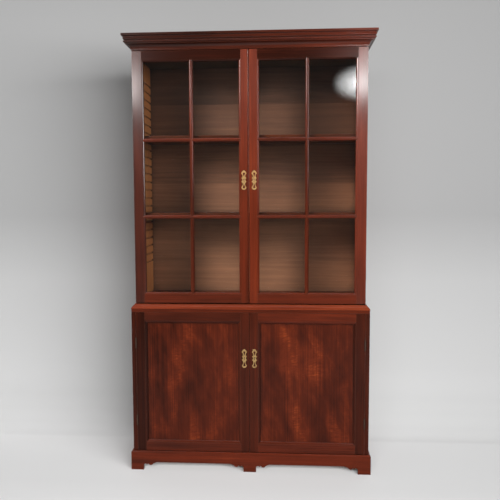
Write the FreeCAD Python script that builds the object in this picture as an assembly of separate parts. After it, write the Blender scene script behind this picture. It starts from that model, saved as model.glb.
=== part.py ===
import FreeCAD, Part
import math
import os

# Two-part glazed mahogany bookcase in the George III manner. Millimetres, +Z up, front towards -Y.
# The origin is on the floor, in the middle of the overall width and depth.

V = FreeCAD.Vector

# Overall sizes
door_pair_width = 1200.0
overall_depth = 388.0
cornice_reach = 43.0
lower_step = 20.5
plinth_reach = 11.5

# Heights, from the floor up
plinth_height = 102.0
lower_opening_height = 746.5
lower_top_thick = 16.0
waist_height = 25.0
waist_air = 5.0
upper_door_height = 1297.5
cornice_air = 2.5
cornice_height = 77.5

# Clearances
door_air = 1.0
seam_gap = 2.0
bolt_air = 0.3
panel_air = 1.0
knuckle_air = 0.3
pin_air = 0.04
stop_air = 0.3
slide_air = 0.1
mortise_air = 1.0
socket_air = 0.8
block_air = 0.5

# How far a cutting shape passes the face that it cuts
overcut = 1.0

# Carcase boards
upper_side_thick = 20.0
lower_side_thick = 22.0
case_board_thick = 18.0
back_thick = 12.0
back_rebate = 10.0
housing_depth = 6.0
back_lap = 6.0
upper_back_count = 6
lower_back_count = 4

# Shelves and the grooves that carry them
shelf_thick = 18.0
shelf_tongue = 10.0
shelf_setback = 12.0
shelf_nosing = 4.0
lowest_groove_rise = 178.5
groove_headroom = 106.5
groove_count = 23
low_shelf_count = 6
high_shelf_count = 15
lower_shelf_height = 350.0
bearer_height = 22.0
bearer_thick = 16.0
stop_height = 20.0
foot_stop_height = 10.0
stop_thick = 14.0

# Glazed upper doors
upper_door_thick = 21.0
upper_hanging_width = 58.0
upper_meeting_width = 51.0
upper_rail_width = 56.5
upper_ovolo_width = 10.0
upper_ovolo_depth = 7.5
glass_rebate = 9.0
glass_thick = 2.2
glass_air = 1.5
bar_width = 20.0
bar_fillet = 3.0
bar_web = 5.0
bar_rows = 3
seam_bead_width = 6.0
seam_bead_quirk = 1.2

# Panelled lower doors
lower_door_thick = 22.0
lower_hanging_width = 58.0
lower_meeting_width = 56.0
lower_rail_width = 56.5
lower_ovolo_width = 11.0
lower_ovolo_depth = 6.5
plinth_door_air = 1.5
panel_thick = 8.0
panel_groove = 8.0

# Details shared by all door frames
quirk = 1.2
sight_fillet = 1.0
tenon_thick = 6.0
tenon_length = 30.0
tenon_setback = 5.0
tenon_shoulder = 9.0
tenon_ledge = 2.0

# Cornice section, heights from its underside and reach past the door faces
cornice_foot_reach = 2.0
cornice_foot_height = 5.0
cavetto_radius = 24.0
cavetto_quirk = 2.0
astragal_radius = 5.0
astragal_base = 29.5
astragal_bottom = 33.5
cyma_bottom = 46.5
cyma_top = 66.5
cyma_top_reach = 40.0
cyma_swell = 2.2
cornice_rail_thick = 20.0
glue_block_size = 24.0
cornice_block_count = 7

# Waist moulding section
waist_lip = 1.5
waist_fillet = 5.0
waist_top_fillet = 4.0
waist_top_flat = 6.0
waist_hollow_share = 0.44

# Plinth, its feet and the blocks behind them
plinth_thick = 18.0
plinth_ovolo = 8.0
plinth_rise = 42.0
foot_width = 66.0
bracket_reach = 70.0
# Flats that stand for each curve of a bracket
bracket_flats = 8
bracket_neck = 24.0
hollow_radius = 9.0
bracket_step = 5.4
lobe_width = 13.0
lobe_drop = 5.85
lobe_tip = 10.4
lobe_sag = 1.0
plinth_tail = 40.0
block_length = 60.0
block_width = 26.0
block_rise = 6.0
block_shares = (0.3, 0.7)

# Butt hinges
hinge_length = 55.0
leaf_width = 16.0
leaf_thick = 2.0
knuckle_radius = 3.0
pin_radius = 1.4
knuckle_count = 3
# Flats that stand for the round of a knuckle
knuckle_flats = 16
knuckle_gap = 0.3
upper_pin_proud = 0.5
lower_pin_proud = 1.5
upper_hinge_inset = 150.0
lower_hinge_inset = 165.0

# Pierced plates, locks and slip bolts
plate_height = 100.0
plate_width = 30.0
plate_thick = 1.6
plate_backset = 25.5
upper_plate_height = 1534.0
lower_plate_height = 607.0
plate_hole_radius = 5.6
keyhole_radius = 3.2
keyhole_slot = 2.6
keyhole_rise = 4.0
keyhole_drop = 8.0
lock_height = 64.0
lock_width = 40.0
lock_depth = 11.0
lock_wall = 1.6
lock_bolt_height = 20.0
lock_bolt_thick = 6.0
lock_bolt_length = 20.0
lock_travel = 8.0
slip_width = 9.0
slip_thick = 5.5
slip_length = 108.0
slip_travel = 12.0
slip_plate_width = 22.0
slip_plate_length = 80.0
slip_plate_thick = 1.6
slip_plate_inset = 12.0
slip_thumb_half = 2.6
slip_thumb_proud = 3.5
slip_centre = 21.0
socket_margin = 1.5

# Shares of half the plate's width and height: middle and end of each arc down its right-hand side
plate_arcs = (((0.56, 0.87), (0.94, 0.66)), ((0.44, 0.43), (0.88, 0.2)), ((0.5, 0.02), (0.92, -0.155)),
              ((0.36, -0.44), (0.86, -0.72)), ((0.62, -0.92), (0.0, -1.0)))

# Shares of half the plate's height: middle and tip of each teardrop hole
plate_holes = ((0.66, 0.32), (-0.74, -0.34))
# Flats that stand for each curve of the plate's edge and for the round of a hole
plate_flats = 5
hole_flats = 12

# Planes and levels worked out from the sizes above
back_y = overall_depth / 2
door_y = -overall_depth / 2 + cornice_reach
lower_y = door_y - lower_step
plinth_y = lower_y - plinth_reach
upper_half = door_pair_width / 2
lower_half = upper_half + lower_step
plinth_half = lower_half + plinth_reach
case_y = door_y + upper_door_thick + door_air
upper_in = upper_half - upper_side_thick
lower_in = lower_half - lower_side_thick
lower_ceiling = plinth_height + lower_opening_height
waist_z = lower_ceiling + lower_top_thick
upper_door_z = waist_z + waist_height + waist_air
upper_door_top = upper_door_z + upper_door_height
case_top = upper_door_top + cornice_air
cornice_top = case_top + cornice_height
upper_ceiling = case_top - case_board_thick
upper_floor = upper_door_z + case_board_thick
lowest_groove = upper_floor + lowest_groove_rise
groove_pitch = (upper_ceiling - groove_headroom - lowest_groove) / (groove_count - 1)
upper_glass_y = door_y + upper_door_thick - glass_rebate
lower_door_back = lower_y + lower_door_thick
lower_door_z = plinth_height + plinth_door_air
lower_door_top = lower_ceiling - door_air
lower_door_half = lower_in - door_air
meeting_x = seam_gap / 2
back_board_y = back_y - back_thick
shelf_front = case_y + shelf_setback
lower_shelf_level = plinth_height + lower_shelf_height

# Share of its radius by which a quarter round's middle lies inside its corner
round_share = 1 - math.sqrt(0.5)


def box(x0, x1, y0, y1, z0, z1):
    """A block between two corners given in any order."""
    lo = V(min(x0, x1), min(y0, y1), min(z0, z1))
    return Part.makeBox(abs(x1 - x0), abs(y1 - y0), abs(z1 - z0), lo)


def rod(x, y, z0, z1, radius):
    """A round rod standing on Z."""
    return Part.makeCylinder(radius, z1 - z0, V(x, y, z0))


def outline(start, steps, place):
    """A flat face from a start point and steps: one point is a line, two are an arc's middle and end."""
    edges = []
    here = start
    for step in steps + [(start,)]:
        there = step[-1]
        a = place(*here)
        b = place(*there)
        if len(step) == 2:
            edges.append(Part.Arc(a, place(*step[0]), b).toShape())
        elif a.distanceToPoint(b) > 1e-6:
            edges.append(Part.makeLine(a, b))
        here = there
    return Part.Face(Part.Wire(edges))


def straight(points):
    """Steps made of lines only."""
    return [(p,) for p in points]


def reverse_steps(start, steps):
    """The same line walked from its other end."""
    points = [start] + [step[-1] for step in steps]
    result = []
    for i in reversed(range(len(steps))):
        back = points[i]
        result.append((steps[i][0], back) if len(steps[i]) == 2 else (back,))
    return result


def prism(start, steps, place, run):
    """The outline pushed along a straight run."""
    return outline(start, steps, place).extrude(run)


def round_waste(radius, place, run):
    """What comes off an edge to round it: the edge is at the plan's origin, the wood at positive s and h."""
    middle = radius * round_share
    steps = [((radius, -overcut),), ((radius, 0),), ((middle, middle), (0, radius)), ((-overcut, radius),)]
    return prism((-overcut, -overcut), steps, place, run)


def flats(start, steps, count):
    """The same line with every arc worked as a number of short flats."""
    result = []
    here = start
    for step in steps:
        if len(step) == 2:
            a, middle, b = [V(x, y, 0) for x, y in (here, *step)]
            spots = Part.Arc(a, middle, b).discretize(Number=count + 1)
            result += straight([(p.x, p.y) for p in spots[1:]])
        else:
            result.append(step)
        here = step[-1]
    return result


def on_arc(centre, radius, degrees):
    """A point on a circle."""
    angle = math.radians(degrees)
    return (centre[0] + radius * math.cos(angle), centre[1] + radius * math.sin(angle))


def mirrored(shape):
    """The same piece for the other side of the bookcase."""
    return shape.mirror(V(0, 0, 0), V(1, 0, 0))


def sided(shape, side):
    """Keep a right-hand piece, or mirror it for the left."""
    return shape if side > 0 else mirrored(shape)


def joined(shapes):
    """Solids that are one piece of wood or metal."""
    first = shapes[0]
    for other in shapes[1:]:
        first = first.fuse(other)
    return first.removeSplitter()


def save(name, shapes):
    """Write one node, a single solid or a group of separate ones."""
    solids = []
    for shape in shapes if isinstance(shapes, list) else [shapes]:
        solids += shape.Solids
    result = solids[0] if len(solids) == 1 else Part.makeCompound(solids)
    result.exportStep("parts/" + name + ".step")
    print(name, len(solids), "solids", round(sum(s.Volume for s in solids) / 1000, 1), "cm3",
          "" if all(s.isValid() and s.Volume > 0 for s in solids) else "NOT VALID")


# Hinges: a and b run along and away from the leaves, from the pin

def leaf_place(upper):
    """Where a point of the leaf plan lies: upper hinges lie flat on the case edge, lower ones face in."""
    if upper:
        return lambda a, b: (upper_half + upper_pin_proud - a, case_y - door_air / 2 + b)
    return lambda a, b: (lower_in - door_air / 2 + b, lower_y - lower_pin_proud + a)


def hinge_levels(upper):
    """Heights of the two hinge centres of a door."""
    bottom, top = door_levels(upper)
    inset = upper_hinge_inset if upper else lower_hinge_inset
    return [bottom + inset, top - inset]


def knuckle_spans(centre):
    """Bottom and top of each knuckle, bottom one first."""
    pitch = hinge_length / knuckle_count
    base = centre - hinge_length / 2
    return [(base + i * pitch + knuckle_gap / 2, base + (i + 1) * pitch - knuckle_gap / 2)
            for i in range(knuckle_count)]


def leaf_slab(upper, moving, centre):
    """The flat of one leaf."""
    place = leaf_place(upper)
    near = -door_air / 2 if moving else door_air / 2
    far = near - leaf_thick if moving else near + leaf_thick
    proud = upper_pin_proud if upper else lower_pin_proud
    x0, y0 = place(0, near)
    x1, y1 = place(leaf_width + proud, far)
    return box(x0, x1, y0, y1, centre - hinge_length / 2, centre + hinge_length / 2)


def knuckle_room(upper, z0, z1):
    """Square notch round the barrel, from one height to another."""
    x, y = leaf_place(upper)(0, 0)
    half = knuckle_radius + knuckle_air
    return box(x - half, x + half, y - half, y + half, z0, z1)


def knuckle(x, y, z0, z1):
    """One knuckle round the pin's line, its round worked as flats."""
    turn = 360 / knuckle_flats
    start, *rest = [on_arc((0.0, 0.0), knuckle_radius, (i + 0.5) * turn) for i in range(knuckle_flats)]
    return prism(start, straight(rest), lambda s, t: V(x + s, y + t, z0), V(0, 0, z1 - z0))


def hinge_leaf(upper, moving, centre):
    """One leaf with its own knuckles; the pin is fast between the end ones and turns in the rest."""
    x, y = leaf_place(upper)(0, 0)
    spans = knuckle_spans(centre)
    leaf = leaf_slab(upper, moving, centre)
    own = 1 if moving else 0
    for i, (z0, z1) in enumerate(spans):
        if i % 2 != own:
            leaf = leaf.cut(knuckle_room(upper, z0 - knuckle_gap, z1 + knuckle_gap))
    for i, (z0, z1) in enumerate(spans):
        if i % 2 == own:
            leaf = leaf.fuse(knuckle(x, y, z0, z1))
    bore = rod(x, y, spans[0][1], spans[-1][0], pin_radius + pin_air)
    return leaf.cut(bore).removeSplitter()


def hinge_recess(upper, moving, centre):
    """What a hinge takes out of the wood that carries one leaf."""
    reach = hinge_length / 2 + knuckle_air
    return leaf_slab(upper, moving, centre).fuse(knuckle_room(upper, centre - reach, centre + reach))


def hinge_pin(upper, centre):
    """The pin between the end knuckles."""
    x, y = leaf_place(upper)(0, 0)
    spans = knuckle_spans(centre)
    return rod(x, y, spans[0][1], spans[-1][0], pin_radius)


def cut_hinges(wood, upper, moving):
    """Let every hinge leaf of a door into the wood."""
    for centre in hinge_levels(upper):
        wood = wood.cut(hinge_recess(upper, moving, centre))
    return wood


# Door frames: u runs in from the outer edge of a member, v runs back from its face

def frame_sizes(upper):
    """Ovolo width and depth, door thickness and face plane."""
    if upper:
        return upper_ovolo_width, upper_ovolo_depth, upper_door_thick, door_y
    return lower_ovolo_width, lower_ovolo_depth, lower_door_thick, lower_y


def ovolo_middle(width, depth):
    """Middle point of the round that leaves the quirk level and falls to the sight edge."""
    radius = (width ** 2 + depth ** 2) / (2 * depth)
    half_turn = math.asin(width / radius) / 2
    return (radius * math.sin(half_turn), quirk + radius * (1 - math.cos(half_turn)))


def member_section(width, upper):
    """Section of a stile or rail: rebated for glass above, grooved for a panel below."""
    ovolo, depth, thick, _ = frame_sizes(upper)
    face_edge = width - ovolo
    middle = ovolo_middle(ovolo, depth)
    moulding = [((face_edge + middle[0], middle[1]), (width, quirk + depth))]
    moulding = [((face_edge, quirk),)] + moulding
    if upper:
        seat = thick - glass_rebate
        back = straight([(width, seat), (face_edge, seat), (face_edge, thick), (0, thick)])
    else:
        groove = quirk + depth + sight_fillet
        bottom = width - panel_groove
        back = straight([(width, groove), (bottom, groove), (bottom, groove + panel_thick),
                         (width, groove + panel_thick), (width, thick), (0, thick)])
    return (0, 0), [((face_edge, 0),)] + moulding + back


def mitre_wedge(u_face, w_face, ovolo, place3):
    """Corner waste: the half of the moulding corner that belongs to the other member."""
    far = ovolo + overcut
    tail = max(upper_rail_width, lower_rail_width)
    deep = max(upper_door_thick, lower_door_thick) + 2 * overcut
    points = [(u_face + far, w_face + far), (u_face + far, w_face - tail), (u_face, w_face - tail)]
    return prism((u_face, w_face), straight(points), lambda u, w: place3(u, w, -overcut), V(0, deep, 0))


def door_levels(upper):
    """Bottom and top of a door."""
    if upper:
        return upper_door_z, upper_door_top
    return lower_door_z, lower_door_top


def door_edges(upper):
    """X of the hanging edge of a right-hand door and the widths of its two stiles and rails."""
    if upper:
        return upper_half, upper_hanging_width, upper_meeting_width, upper_rail_width
    return lower_door_half, lower_hanging_width, lower_meeting_width, lower_rail_width


def tenon(upper, hanging, top):
    """The tongue of a rail inside a stile."""
    ovolo, _, _, face = frame_sizes(upper)
    outer, hanging_width, meeting_width, rail_width = door_edges(upper)
    z0, z1 = door_levels(upper)
    near = tenon_shoulder
    far = rail_width - ovolo - tenon_ledge
    low, high = (z1 - far, z1 - near) if top else (z0 + near, z0 + far)
    if hanging:
        x0 = outer - hanging_width + ovolo
        x1 = x0 + tenon_length
    else:
        x0 = meeting_x + meeting_width - ovolo
        x1 = x0 - tenon_length
    return box(x0, x1, face + tenon_setback, face + tenon_setback + tenon_thick, low, high)


def door_stile(upper, hanging):
    """A full-height stile with mitred moulding and mortises for both rails."""
    ovolo, _, _, face = frame_sizes(upper)
    outer, hanging_width, meeting_width, rail_width = door_edges(upper)
    z0, z1 = door_levels(upper)
    width = hanging_width if hanging else meeting_width
    across = (lambda u: outer - u) if hanging else (lambda u: meeting_x + u)
    start, steps = member_section(width, upper)
    stile = prism(start, steps, lambda u, v: V(across(u), face + v, z0), V(0, 0, z1 - z0))
    low = z0 + rail_width - ovolo
    high = z1 - rail_width + ovolo
    stile = stile.cut(mitre_wedge(width - ovolo, low, ovolo, lambda u, w, v: V(across(u), face + v, w)))
    stile = stile.cut(mitre_wedge(width - ovolo, -high, ovolo, lambda u, w, v: V(across(u), face + v, -w)))
    for top in (False, True):
        stile = stile.cut(tenon(upper, hanging, top))
    return stile


def door_rail(upper, top):
    """A rail between the stiles, its moulding mitred into theirs, with a tenon at each end."""
    ovolo, _, _, face = frame_sizes(upper)
    outer, hanging_width, meeting_width, rail_width = door_edges(upper)
    z0, z1 = door_levels(upper)
    x0 = meeting_x + meeting_width - ovolo
    x1 = outer - hanging_width + ovolo
    up = (lambda u: z1 - u) if top else (lambda u: z0 + u)
    start, steps = member_section(rail_width, upper)
    rail = prism(start, steps, lambda u, v: V(x0, face + v, up(u)), V(x1 - x0, 0, 0))
    edge = rail_width - ovolo
    rail = rail.cut(mitre_wedge(edge, x0, ovolo, lambda u, w, v: V(w, face + v, up(u))))
    rail = rail.cut(mitre_wedge(edge, -x1, ovolo, lambda u, w, v: V(-w, face + v, up(u))))
    for hanging in (False, True):
        rail = rail.fuse(tenon(upper, hanging, top))
    return rail.removeSplitter()


def sight(upper):
    """The clear opening of a right-hand door: x0, x1, z0, z1."""
    outer, hanging_width, meeting_width, rail_width = door_edges(upper)
    z0, z1 = door_levels(upper)
    return meeting_x + meeting_width, outer - hanging_width, z0 + rail_width, z1 - rail_width


def bar_section():
    """Section of a glazing bar about its centre line: fillet, two ovolos and the web between panes."""
    half = bar_width / 2
    lip = bar_fillet / 2
    web = bar_web / 2
    seat = upper_door_thick - glass_rebate
    reach, fall = ovolo_middle(half - lip, upper_ovolo_depth)
    low = quirk + upper_ovolo_depth
    right = [((lip, 0),), ((lip, quirk),), ((lip + reach, fall), (half, low))]
    back = straight([(half, seat), (web, seat), (web, upper_door_thick), (-web, upper_door_thick),
                     (-web, seat), (-half, seat), (-half, low)])
    return (-lip, 0), right + back + [((-lip - reach, fall), (-lip, quirk))]


def bar_lines():
    """Centre line of the upright bar and of each cross bar."""
    x0, x1, z0, z1 = sight(True)
    rows = [z0 + (z1 - z0) * i / bar_rows for i in range(1, bar_rows)]
    return (x0 + x1) / 2, rows


def glazing_bars(frame):
    """Upright bar and cross bars, scribed over each other and over the frame's moulding."""
    x0, x1, z0, z1 = sight(True)
    reach = upper_ovolo_width
    middle, rows = bar_lines()
    start, steps = bar_section()
    run = V(0, 0, z1 - z0 + 2 * reach)
    upright = prism(start, steps, lambda s, v: V(middle + s, door_y + v, z0 - reach), run)
    crosses = []
    for level in rows:
        place = lambda s, v: V(x0 - reach, door_y + v, level + s)
        crosses.append(prism(start, steps, place, V(x1 - x0 + 2 * reach, 0, 0)))
    for member in frame:
        upright = upright.cut(member)
        crosses = [bar.cut(member) for bar in crosses]
    pieces = [upright]
    for bar in crosses:
        pieces += bar.cut(upright).Solids
    return pieces


def panes():
    """Six panes of glass resting in the rebates."""
    x0, x1, z0, z1 = sight(True)
    middle, rows = bar_lines()
    edge = upper_ovolo_width - glass_air
    web = bar_web / 2 + glass_air
    levels = [z0 - edge]
    for row in rows:
        levels += [row - web, row + web]
    levels.append(z1 + edge)
    columns = [(x0 - edge, middle - web), (middle + web, x1 + edge)]
    y0 = upper_glass_y
    glass = []
    for left, right in columns:
        for i in range(bar_rows):
            glass.append(box(left, right, y0, y0 + glass_thick, levels[2 * i], levels[2 * i + 1]))
    return glass


def door_panel():
    """The flat panel, loose in its groove."""
    x0, x1, z0, z1 = sight(False)
    grow = panel_groove - panel_air
    y0 = lower_y + quirk + lower_ovolo_depth + sight_fillet
    return box(x0 - grow, x1 + grow, y0, y0 + panel_thick, z0 - grow, z1 + grow)


# Pierced plates, locks and slip bolts

def door_back(upper):
    """Plane of a door's back face."""
    return door_y + upper_door_thick if upper else lower_door_back


def plate_level(upper):
    """Height of the middle of a door's plate and of its lock."""
    return upper_plate_height if upper else lower_plate_height


def plate_place(level, y):
    """Where a point of a plate lies: s is across and t is up from its middle."""
    return lambda s, t: V(meeting_x + plate_backset + s, y, level + t)


def plate_outline():
    """Outer line of the plate, from its top point down one side and up the other."""
    half = plate_width / 2
    tall = plate_height / 2
    down = [tuple((x * half, z * tall) for x, z in arc) for arc in plate_arcs]
    up = reverse_steps((0.0, tall), [tuple((-x, z) for x, z in arc) for arc in down])
    return (0.0, tall), flats((0.0, tall), down + up, plate_flats)


def teardrop(centre, radius, tip):
    """A round hole drawn out to a point above or below it."""
    way = math.copysign(1, tip - centre)
    angle = math.degrees(math.acos(radius / abs(tip - centre)))
    spots = [on_arc((0.0, 0.0), radius, turn) for turn in (90 - angle, -90, 90 + angle)]
    a, middle, b = [(s, centre + way * t) for s, t in spots]
    return (0.0, tip), flats((0.0, tip), [(a,), (middle, b)], hole_flats)


def keyhole(level, y, depth):
    """Round head and slot of a keyhole, cut back from a plane."""
    half = keyhole_slot / 2
    join = keyhole_rise - math.sqrt(keyhole_radius ** 2 - half ** 2)
    start = (-half, -keyhole_drop)
    head = ((0.0, keyhole_rise + keyhole_radius), (-half, join))
    steps = flats(start, [((half, -keyhole_drop),), ((half, join),), head], hole_flats)
    return prism(start, steps, plate_place(level, y), V(0, depth, 0))


def escutcheon(upper):
    """A pierced brass plate on the face of a meeting stile."""
    face = door_y if upper else lower_y
    level = plate_level(upper)
    y = face - plate_thick
    run = V(0, plate_thick, 0)
    start, steps = plate_outline()
    plate = prism(start, steps, plate_place(level, y), run)
    for centre, tip in plate_holes:
        start, steps = teardrop(centre * plate_height / 2, plate_hole_radius, tip * plate_height / 2)
        plate = plate.cut(prism(start, steps, plate_place(level, y), run))
    return plate.cut(keyhole(level, y - overcut, plate_thick + 2 * overcut))


def lock_box(upper):
    """The space of a cupboard lock, let in from the back and the meeting edge."""
    back = door_back(upper)
    level = plate_level(upper)
    half = lock_height / 2
    return box(meeting_x, meeting_x + lock_width, back - lock_depth, back, level - half, level + half)


def lock_bolt(upper, margin):
    """The bolt inside the lock, drawn in, or the room that it needs."""
    level = plate_level(upper)
    y = door_back(upper) - lock_depth / 2
    half = lock_bolt_thick / 2 + margin
    tall = lock_bolt_height / 2 + margin
    inner = meeting_x + lock_bolt_length + margin
    return box(meeting_x, inner, y - half, y + half, level - tall, level + tall)


def lock_case(upper):
    """Brass lock case with a channel for the bolt and room for the key."""
    level = plate_level(upper)
    back = door_back(upper)
    x = meeting_x + plate_backset
    key_room = box(x - keyhole_radius, x + keyhole_radius, back - lock_depth, back - lock_wall,
                   level - keyhole_drop, level + keyhole_rise + keyhole_radius)
    return lock_box(upper).cut(lock_bolt(upper, slide_air)).cut(key_room)


def lock_socket(upper):
    """The mortise in the other stile that takes the bolt."""
    room = lock_bolt(upper, mortise_air)
    reach = meeting_x + lock_travel + socket_margin
    return mirrored(room.common(box(meeting_x, reach, -overall_depth, overall_depth, 0, cornice_top)))


def slip_levels(upper, top):
    """The end of a slip bolt, flush with the stile's end, and the way it moves."""
    z0, z1 = door_levels(upper)
    return (z1, 1) if top else (z0, -1)


def slip_y(upper):
    """Back face of a slip bolt, under its plate."""
    return door_back(upper) - slip_plate_thick - slide_air


def slip_box(upper, top, margin, inwards, outwards):
    """A slip bolt's bar, or the room round it, in a right-hand stile."""
    end, way = slip_levels(upper, top)
    x = meeting_x + slip_centre
    half = slip_width / 2 + margin
    y1 = slip_y(upper)
    return box(x - half, x + half, y1 - slip_thick - margin, y1 + margin,
               end - way * (slip_length + inwards), end + way * outwards)


def slip_thumb_level(upper, top):
    """Height of the thumb piece with the bolt drawn in."""
    end, way = slip_levels(upper, top)
    return end - way * (slip_plate_inset + slip_plate_length / 2 + slip_travel / 2)


def slip_bolt(upper, top):
    """Bar and square thumb piece of a slip bolt."""
    y1 = slip_y(upper)
    x = meeting_x + slip_centre
    z = slip_thumb_level(upper, top)
    half = slip_thumb_half
    reach = slip_plate_thick + slide_air + slip_thumb_proud
    thumb = box(x - half, x + half, y1 - overcut, y1 + reach, z - half, z + half)
    return slip_box(upper, top, 0, 0, 0).fuse(thumb).removeSplitter()


def slip_plate_box(upper, top):
    """The plate over a slip bolt, flush with the back of the stile."""
    end, way = slip_levels(upper, top)
    back = door_back(upper)
    x = meeting_x + slip_centre
    half = slip_plate_width / 2
    return box(x - half, x + half, back - slip_plate_thick, back,
               end - way * slip_plate_inset, end - way * (slip_plate_inset + slip_plate_length))


def slip_plate(upper, top):
    """The plate with the slot that the thumb piece slides in."""
    _, way = slip_levels(upper, top)
    back = door_back(upper)
    x = meeting_x + slip_centre
    half = slip_thumb_half + bolt_air
    z = slip_thumb_level(upper, top)
    slot = box(x - half, x + half, back - slip_plate_thick, back,
               z - way * half, z + way * (slip_travel + half))
    return slip_plate_box(upper, top).cut(slot)


def slip_room(upper, top):
    """What the bolt and plate take out of the stile."""
    end, way = slip_levels(upper, top)
    x = meeting_x + slip_centre
    half = slip_width / 2 + slide_air
    groove = slip_box(upper, top, slide_air, bolt_air, overcut)
    open_end = box(x - half, x + half, slip_y(upper), door_back(upper),
                   end + way * overcut, end - way * slip_plate_inset)
    return groove.fuse(open_end).fuse(slip_plate_box(upper, top))


def slip_socket(upper, top):
    """The hole in the case that the bolt shoots into."""
    return mirrored(slip_box(upper, top, socket_air, 0, slip_travel + socket_margin))


# Carcase

def groove_level(i):
    """Height of a shelf groove's middle, counted from the lowest one."""
    return lowest_groove + i * groove_pitch


def side_section_upper():
    """Front view of an upper side: straight outside, and a comb of shelf grooves down its inner face."""
    points = [(upper_half, case_top), (upper_half, waist_z), (upper_in, waist_z)]
    floor = upper_in + housing_depth
    for i in range(groove_count):
        low = groove_level(i) - shelf_tongue / 2
        high = groove_level(i) + shelf_tongue / 2
        points += [(upper_in, low), (floor, low), (floor, high), (upper_in, high)]
    points.append((upper_in, case_top))
    return points[0], straight(points[1:])


def tongue_box(half, y0, y1, z0, z1):
    """The end of a board that runs into its housings on both sides."""
    return box(-half - housing_depth, half + housing_depth, y0, y1, z0, z1)


def upper_side():
    """Right upper side with grooves, housings, rebate and hinge recesses."""
    start, steps = side_section_upper()
    side = prism(start, steps, lambda x, z: V(x, case_y, z), V(0, back_y - case_y, 0))
    side = side.cut(box(upper_in - overcut, upper_in + back_rebate, back_board_y, back_y, waist_z, case_top))
    for board in upper_boards():
        side = side.cut(board)
    return cut_hinges(side, True, False)


def upper_boards():
    """Top and bottom board of the upper case, housed in its sides."""
    return [tongue_box(upper_in, case_y, back_board_y, upper_ceiling, case_top),
            tongue_box(upper_in, case_y, back_board_y, upper_door_z, upper_floor)]


def upper_base_rail():
    """The rail under the bottom board, behind the waist moulding."""
    return box(-upper_in, upper_in, case_y, case_y + upper_side_thick, waist_z, upper_door_z)


def back_boards(half, z0, z1, count):
    """Boards across the back, each lapped over the one below."""
    pitch = (z1 - z0) / count
    lap = back_thick / 2
    run = V(2 * half, 0, 0)
    boards = []
    for i in range(count):
        low = z0 + i * pitch
        high = low + pitch
        foot = low if i == 0 else low - back_lap
        head = high if i == count - 1 else high - back_lap
        points = [(0, high), (lap, high), (lap, head), (back_thick, head), (back_thick, foot),
                  (lap, foot), (lap, low)]
        boards.append(prism((0, low), straight(points), lambda v, z: V(-half, back_board_y + v, z), run))
    return boards


def shelf(level):
    """A shelf with tongued ends and a rounded nosing."""
    low = level - shelf_thick / 2
    high = level + shelf_thick / 2
    back = back_board_y - stop_air
    half = upper_in - stop_air
    r = shelf_nosing
    k = r * round_share
    steps = [((shelf_front + k, high - k), (shelf_front + r, high)), ((back, high),), ((back, low),),
             ((shelf_front + r, low),), ((shelf_front + k, low + k), (shelf_front, low + r))]
    board = prism((shelf_front, high - r), steps, lambda y, z: V(-half, y, z), V(2 * half, 0, 0))
    tongue = box(-half - housing_depth, half + housing_depth, shelf_front + r, back,
                 level - shelf_tongue / 2, level + shelf_tongue / 2 - slide_air)
    return joined([board, tongue])


def lower_side():
    """Right lower side: full thickness above the plinth, a thinner tail behind it."""
    tail_out = plinth_half - plinth_thick
    tail_front = plinth_y + plinth_thick
    body = box(lower_in, lower_half, lower_y, back_y, plinth_height, lower_ceiling)
    tail = box(lower_in, tail_out, tail_front, back_y, plinth_height - plinth_tail, plinth_height)
    tongue = box(lower_in + housing_depth, lower_half - housing_depth, lower_y + housing_depth, back_board_y,
                 lower_ceiling, lower_ceiling + housing_depth)
    side = joined([body, tail, tongue])
    side = side.cut(box(lower_in - overcut, lower_in + back_rebate, back_board_y, back_y, 0, lower_ceiling))
    side = side.cut(lower_floor_board())
    return cut_hinges(side, False, False)


def lower_floor_board():
    """The floor of the lower case, level with the plinth's top and housed in the sides."""
    y0 = plinth_y + plinth_thick
    return tongue_box(lower_in, y0, back_board_y, plinth_height - case_board_thick, plinth_height)


def lower_top_board(sides):
    """The top of the lower case, over its sides, with its back edge over the back boards."""
    board = box(-lower_half, lower_half, lower_y, back_y, lower_ceiling, waist_z)
    for side in sides:
        board = board.cut(side)
    return board.cut(slip_socket(False, True))


def lower_shelf():
    """The cupboard shelf, lying on its bearers."""
    return box(-lower_in + panel_air, lower_in - panel_air, lower_door_back + shelf_setback,
               back_board_y - stop_air, lower_shelf_level, lower_shelf_level + shelf_thick)


def bearers_and_stops():
    """Bearers under the shelf and stops behind the doors' top and bottom edges."""
    low = lower_shelf_level - bearer_height
    inner = lower_in - bearer_thick
    front = lower_door_back + shelf_setback + shelf_nosing
    bearer = box(inner, lower_in, front, back_board_y, low, lower_shelf_level)
    near = lower_door_back + stop_air
    far = near + stop_thick
    top_stop = box(-lower_in, lower_in, near, far, lower_ceiling - stop_height, lower_ceiling)
    foot_stop = box(-lower_in, lower_in, near, far, plinth_height, plinth_height + foot_stop_height)
    return [bearer, mirrored(bearer), top_stop, foot_stop]


# Mouldings that run round three sides: s is the reach past a face plane, h is the height

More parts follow.
